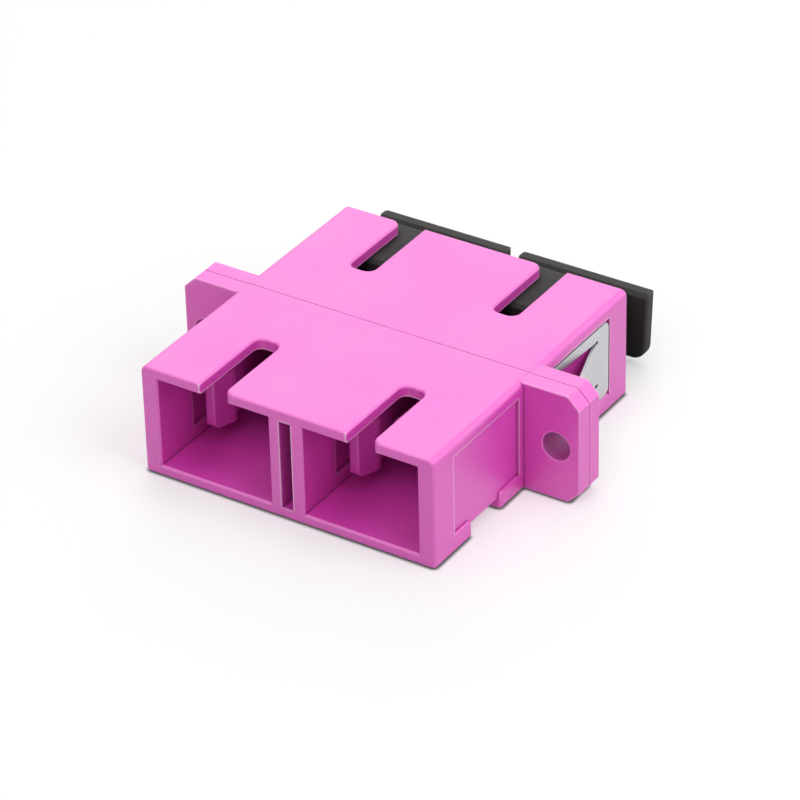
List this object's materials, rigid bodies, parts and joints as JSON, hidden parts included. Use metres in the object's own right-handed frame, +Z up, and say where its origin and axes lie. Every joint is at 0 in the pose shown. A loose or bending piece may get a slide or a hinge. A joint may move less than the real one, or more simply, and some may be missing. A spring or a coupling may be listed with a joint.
{
  "type": "sc duplex fibre adapter",
  "caption": "Duplex fibre-optic adapter: a moulded sleeve with side-by-side plug ports, a screw flange, a spring panel clip and push-in dust caps.",
  "frame": {"origin": "midway between the two screw holes, on the plane where the two housing halves are welded", "axes": "+X across the two ports, +Y along the fibres towards the capped ports, +Z up through the key slots"},
  "size_m": [0.0346, 0.0324, 0.0092],
  "materials": {
    "housing": "satin moulded",
    "insert": "satin moulded",
    "sleeve": "polished",
    "clip": "bright rolled",
    "cap": "fine matte"
  },
  "bodies": {
    "adapter": {"front_housing": "housing", "rear_housing": "housing", "latch_insert_front_left": "insert", "latch_insert_front_right": "insert", "latch_insert_rear_left": "insert", "latch_insert_rear_right": "insert", "alignment_sleeve_left": "sleeve", "alignment_sleeve_right": "sleeve", "panel_clip": "clip"},
    "dust_cap_left": {"dust_cap_left": "cap"},
    "dust_cap_right": {"dust_cap_right": "cap"}
  },
  "joints": [
    {"name": "cap_left_slide", "type": "slide", "parent": "adapter", "child": "dust_cap_left", "axis": [0, 1, 0], "range_m": [0, 0.01]},
    {"name": "cap_right_slide", "type": "slide", "parent": "adapter", "child": "dust_cap_right", "axis": [0, 1, 0], "range_m": [0, 0.01]}
  ]
}
